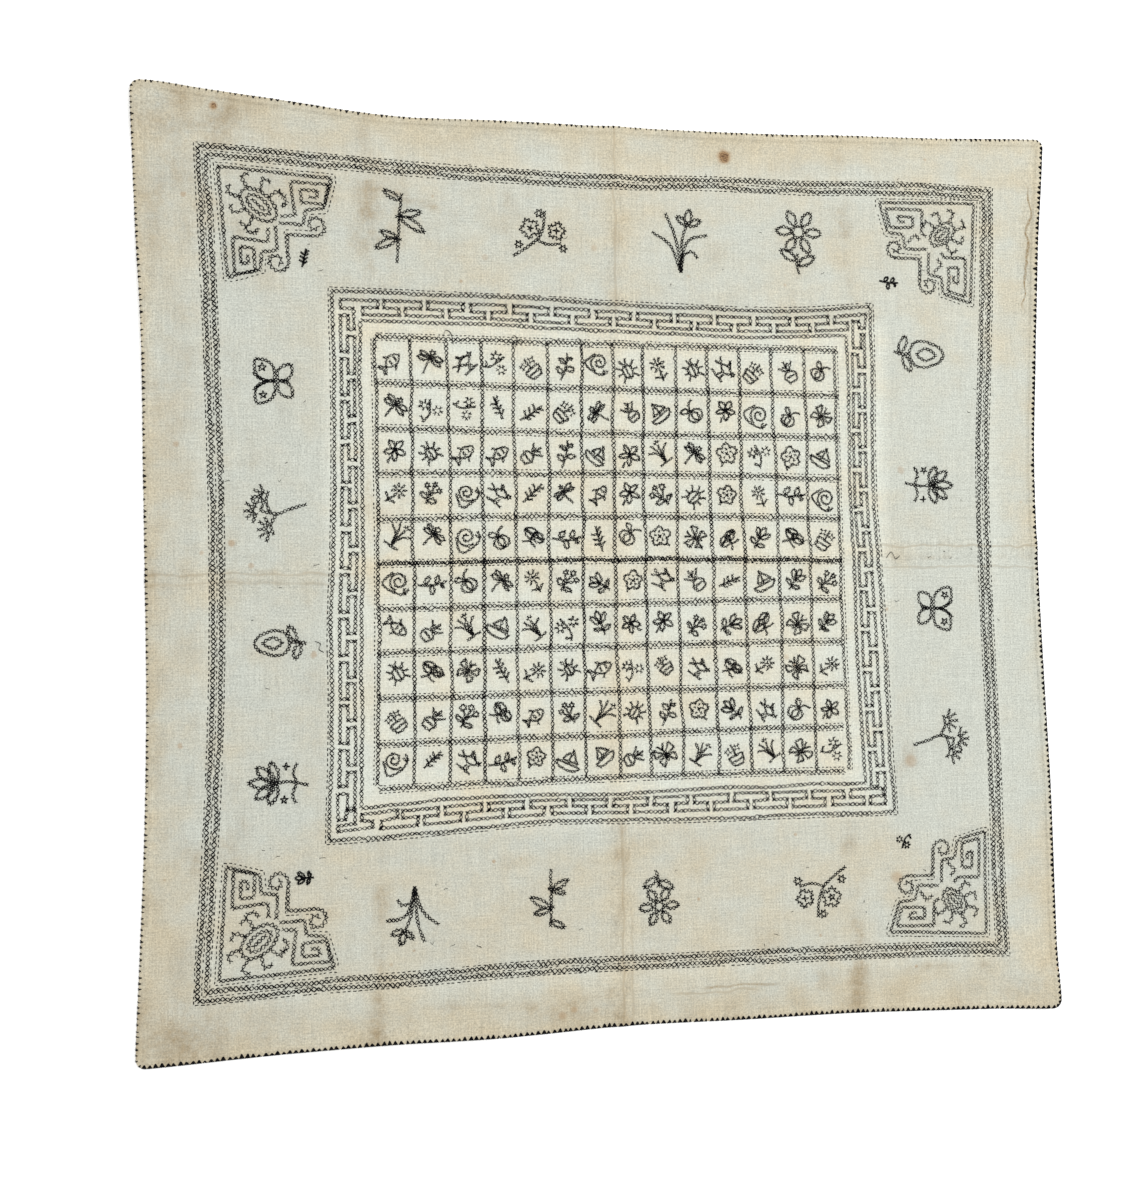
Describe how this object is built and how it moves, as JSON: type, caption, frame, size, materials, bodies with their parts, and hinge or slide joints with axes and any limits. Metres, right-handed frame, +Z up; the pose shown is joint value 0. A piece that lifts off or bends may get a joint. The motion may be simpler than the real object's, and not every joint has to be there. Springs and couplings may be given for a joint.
{
  "type": "embroidered cloth",
  "caption": "Flat square cotton kerchief with a turned hem and dark cross-stitched borders, lying loose on a surface.",
  "frame": {"origin": "middle of the cloth's box on the surface that the cloth lies on", "axes": "+Z up, out of the embroidered face; +Y towards the top edge in the picture; +X towards its right edge"},
  "size_m": [0.483, 0.4808, 0.0043],
  "materials": {
    "cotton_cloth": "matt hand-woven cotton, aged cream with faint stains",
    "dark_thread": "matt blue-black cotton thread, slightly faded"
  },
  "bodies": {
    "root": {"embroidered_cloth": "cotton_cloth"}
  },
  "joints": []
}
